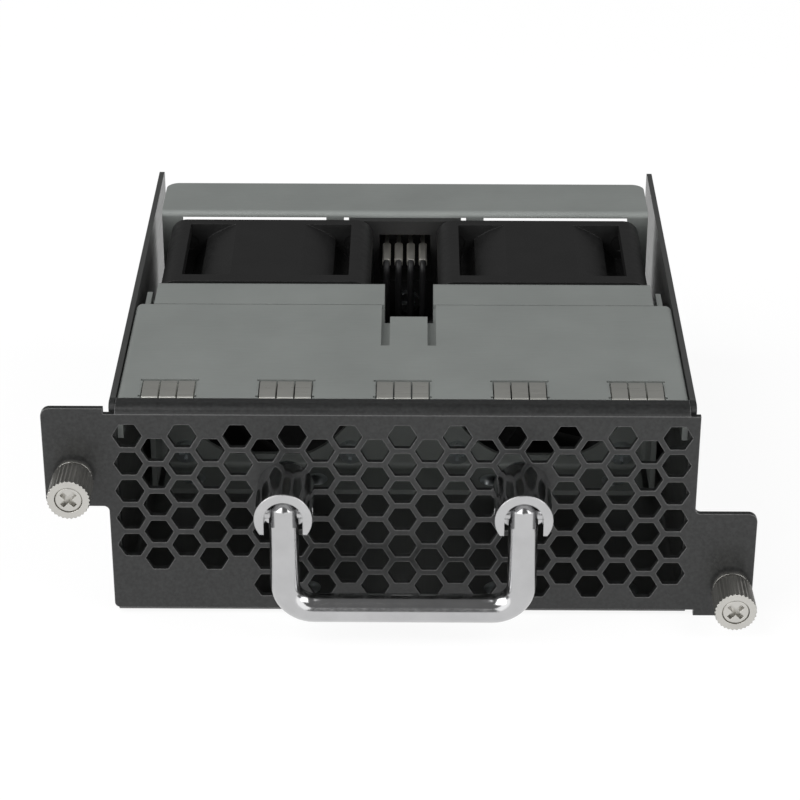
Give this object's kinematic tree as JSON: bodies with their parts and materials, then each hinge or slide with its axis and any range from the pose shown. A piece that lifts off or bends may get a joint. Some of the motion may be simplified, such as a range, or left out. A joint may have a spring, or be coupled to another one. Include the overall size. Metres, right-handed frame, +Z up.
{
  "type": "fan tray",
  "caption": "Hot-swap fan tray: folded sheet tray with a perforated front panel, axial fans, a swinging pull handle and captive thumbscrews.",
  "frame": {"origin": "middle of the tray's underside", "axes": "+X to the right seen from the front, +Y from the front panel to the rear, +Z up"},
  "size_m": [0.1248, 0.1136, 0.0422],
  "materials": {
    "panel_black": "black satin powder coat",
    "tray_zinc": "zinc-plated steel sheet",
    "cover_grey": "mid grey satin plated sheet",
    "spring_steel": "bright spring strip",
    "fan_black": "black moulded plastic",
    "housing_black": "black moulded plastic",
    "motor_steel": "drawn steel",
    "magnet_dark": "bonded ferrite",
    "bearing_steel": "ground steel",
    "coil_copper": "enamelled copper wire",
    "board_green": "green circuit board",
    "lead_black": "black insulated wire",
    "contact_tin": "tin-plated contact",
    "handle_chrome": "polished chrome plate",
    "knob_nickel": "knurled nickel plate",
    "fastener_zinc": "zinc-plated steel"
  },
  "bodies": {
    "tray": {"front_panel": "panel_black", "tray_base": "tray_zinc", "top_cover": "cover_grey", "front_bracket": "cover_grey", "rear_bracket": "cover_grey", "connector_housing": "housing_black", "connector_contacts": "contact_tin", "connector_screw": "fastener_zinc", "handle_post_screws": "fastener_zinc", "fan_screws": "fastener_zinc", "panel_rivets": "fastener_zinc", "bracket_rivets": "fastener_zinc", "cover_rivets": "fastener_zinc", "spring_clip_1": "spring_steel", "spring_clip_2": "spring_steel", "spring_clip_3": "spring_steel", "spring_clip_4": "spring_steel", "spring_clip_5": "spring_steel", "fan_frame_left": "fan_black", "bearings_left": "bearing_steel", "stator_core_left": "motor_steel", "stator_coils_left": "coil_copper", "motor_board_left": "board_green", "fan_lead_left": "lead_black", "handle_post_left": "handle_chrome", "handle_pin_left": "bearing_steel", "screw_ferrule_left": "knob_nickel", "fan_frame_right": "fan_black", "bearings_right": "bearing_steel", "stator_core_right": "motor_steel", "stator_coils_right": "coil_copper", "motor_board_right": "board_green", "fan_lead_right": "lead_black", "handle_post_right": "handle_chrome", "handle_pin_right": "bearing_steel", "screw_ferrule_right": "knob_nickel"},
    "handle": {"handle_bail": "handle_chrome"},
    "fan_rotor_left": {"impeller_left": "fan_black", "rotor_yoke_left": "motor_steel", "rotor_magnet_left": "magnet_dark", "rotor_shaft_left": "bearing_steel", "shaft_clip_left": "bearing_steel"},
    "screw_slider_left": {"retaining_ring_left": "bearing_steel"},
    "thumbscrew_left": {"thumb_knob_left": "knob_nickel", "thumb_screw_left": "knob_nickel"},
    "fan_rotor_right": {"impeller_right": "fan_black", "rotor_yoke_right": "motor_steel", "rotor_magnet_right": "magnet_dark", "rotor_shaft_right": "bearing_steel", "shaft_clip_right": "bearing_steel"},
    "screw_slider_right": {"retaining_ring_right": "bearing_steel"},
    "thumbscrew_right": {"thumb_knob_right": "knob_nickel", "thumb_screw_right": "knob_nickel"}
  },
  "joints": [
    {"name": "handle_swing", "type": "hinge", "parent": "tray", "child": "handle", "pos_m": [0, -0.05985, 0.0262], "axis": [-1, 0, 0], "range_deg": [0, 90]},
    {"name": "fan_spin_left", "type": "hinge", "parent": "tray", "child": "fan_rotor_left", "pos_m": [-0.0264, -0.0006, 0.0217], "axis": [0, 1, 0], "continuous": true},
    {"name": "thumbscrew_pull_left", "type": "slide", "parent": "tray", "child": "screw_slider_left", "axis": [0, -1, 0], "range_m": [0, 0.0045]},
    {"name": "thumbscrew_turn_left", "type": "hinge", "parent": "screw_slider_left", "child": "thumbscrew_left", "pos_m": [-0.0573, -0.0512, 0.0281], "axis": [0, 1, 0], "continuous": true},
    {"name": "fan_spin_right", "type": "hinge", "parent": "tray", "child": "fan_rotor_right", "pos_m": [0.0264, -0.0006, 0.0217], "axis": [0, 1, 0], "continuous": true},
    {"name": "thumbscrew_pull_right", "type": "slide", "parent": "tray", "child": "screw_slider_right", "axis": [0, -1, 0], "range_m": [0, 0.0045]},
    {"name": "thumbscrew_turn_right", "type": "hinge", "parent": "screw_slider_right", "child": "thumbscrew_right", "pos_m": [0.0586, -0.0512, 0.0059], "axis": [0, 1, 0], "continuous": true}
  ]
}
